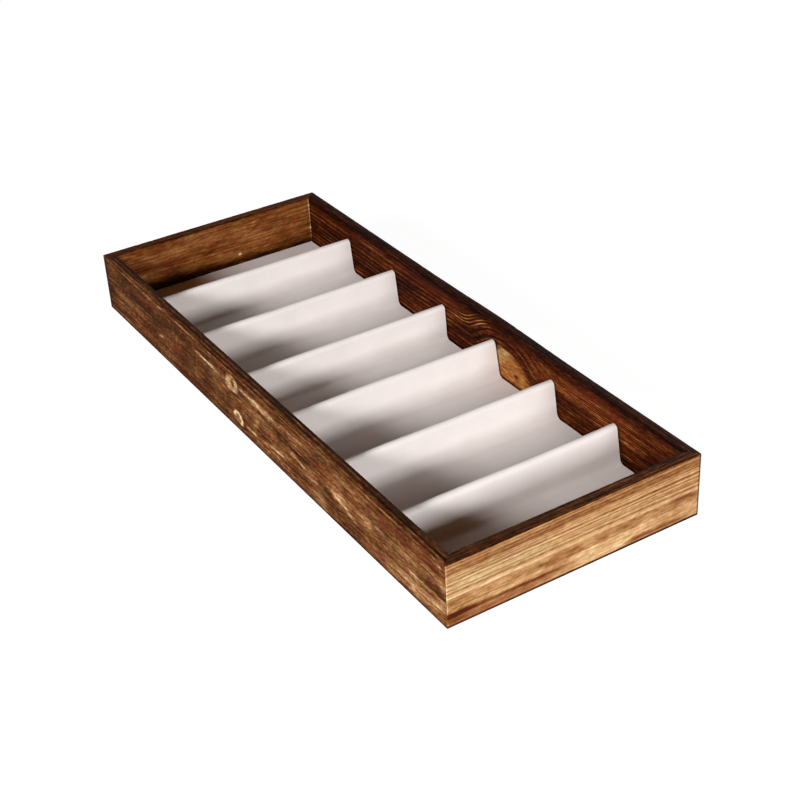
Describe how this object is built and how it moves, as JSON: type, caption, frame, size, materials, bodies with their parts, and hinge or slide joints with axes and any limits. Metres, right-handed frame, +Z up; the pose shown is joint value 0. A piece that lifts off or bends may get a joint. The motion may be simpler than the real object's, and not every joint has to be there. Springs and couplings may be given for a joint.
{
  "type": "eyeglasses storage box",
  "caption": "Open wooden box with mitred boards, a let-in base panel and a lift-out covered insert whose upright ridges part it into compartments for folded eyeglasses.",
  "frame": {"origin": "centre of the underside, on the surface that the box stands on", "axes": "+X along the box towards its near end, +Y across it towards its right side, +Z up out of its open top"},
  "size_m": [0.46, 0.18, 0.044],
  "materials": {
    "stained_pine": "stained and scorched, dull satin",
    "golden_pine": "stained, dull satin",
    "plywood": "raw, matt",
    "fastener_steel": "dull",
    "card": "matt",
    "suede": "soft matt nap"
  },
  "bodies": {
    "box": {"side_board_left": "stained_pine", "side_board_right": "stained_pine", "end_board_near": "golden_pine", "end_board_far": "stained_pine", "base_panel": "plywood", "corner_brad_near_left_lower": "fastener_steel", "corner_brad_near_left_upper": "fastener_steel", "corner_brad_near_right_lower": "fastener_steel", "corner_brad_near_right_upper": "fastener_steel", "corner_brad_far_left_lower": "fastener_steel", "corner_brad_far_left_upper": "fastener_steel", "corner_brad_far_right_lower": "fastener_steel", "corner_brad_far_right_upper": "fastener_steel", "panel_pin_left_1": "fastener_steel", "panel_pin_left_2": "fastener_steel", "panel_pin_left_3": "fastener_steel", "panel_pin_right_1": "fastener_steel", "panel_pin_right_2": "fastener_steel", "panel_pin_right_3": "fastener_steel", "panel_pin_near": "fastener_steel", "panel_pin_far": "fastener_steel"},
    "insert": {"insert_card": "card", "insert_cover": "suede"}
  },
  "joints": [
    {"name": "insert_lift", "type": "slide", "parent": "box", "child": "insert", "axis": [0, 0, 1], "range_m": [0, 0.06]}
  ]
}
